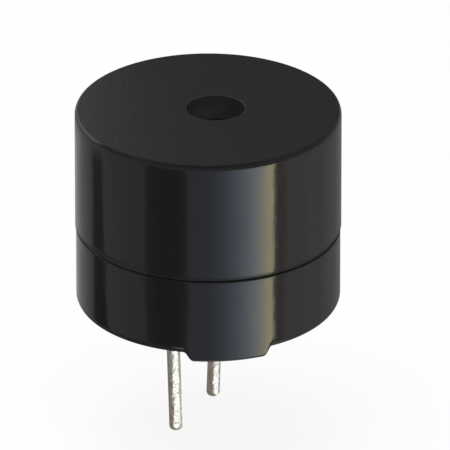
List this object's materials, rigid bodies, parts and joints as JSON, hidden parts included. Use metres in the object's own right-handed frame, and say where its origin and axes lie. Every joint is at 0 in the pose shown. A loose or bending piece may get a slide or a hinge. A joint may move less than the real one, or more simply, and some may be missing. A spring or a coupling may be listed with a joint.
{
  "type": "piezo buzzer",
  "caption": "Round black board-mounted piezo buzzer: moulded cap with an off-centre sound port over a footed base, with a long and a short tinned pin.",
  "frame": {"origin": "on the case axis at the board plane, where the three feet stand", "axes": "+Z out through the sound port, +X along the pin row towards the positive pin"},
  "size_m": [0.012, 0.012, 0.0163],
  "materials": {
    "case_plastic": "black moulding, polished at the side and fine satin on top",
    "gasket_rubber": "matt",
    "diaphragm_brass": "rolled, dulled",
    "piezo_ceramic": "fired, matt",
    "fired_silver": "fired, satin",
    "board_laminate": "paper laminate",
    "copper_land": "bare copper",
    "tinned_wire": "hot-dipped tin, slightly mottled",
    "solder": "bright",
    "package_moulding": "fine grain",
    "chip_ceramic": "glazed black film on alumina",
    "spring_bronze": "rolled strip, springy",
    "sealing_resin": "cast, glossy with a soft meniscus"
  },
  "bodies": {
    "root": {"upper_case": "case_plastic", "lower_case": "case_plastic", "rear_gasket": "gasket_rubber", "front_gasket": "gasket_rubber", "diaphragm_plate": "diaphragm_brass", "piezo_disc": "piezo_ceramic", "main_electrode": "fired_silver", "feedback_electrode": "fired_silver", "circuit_board": "board_laminate", "board_pads": "copper_land", "positive_pin": "tinned_wire", "negative_pin": "tinned_wire", "pin_solder": "solder", "contact_solder": "solder", "sealing_resin": "sealing_resin", "transistor_body": "package_moulding", "transistor_leads": "tinned_wire", "base_resistor": "chip_ceramic", "collector_resistor": "chip_ceramic", "feedback_resistor": "chip_ceramic", "resistor_terminals": "tinned_wire", "ground_contact": "spring_bronze", "main_contact": "spring_bronze", "feedback_contact": "spring_bronze"}
  },
  "joints": []
}
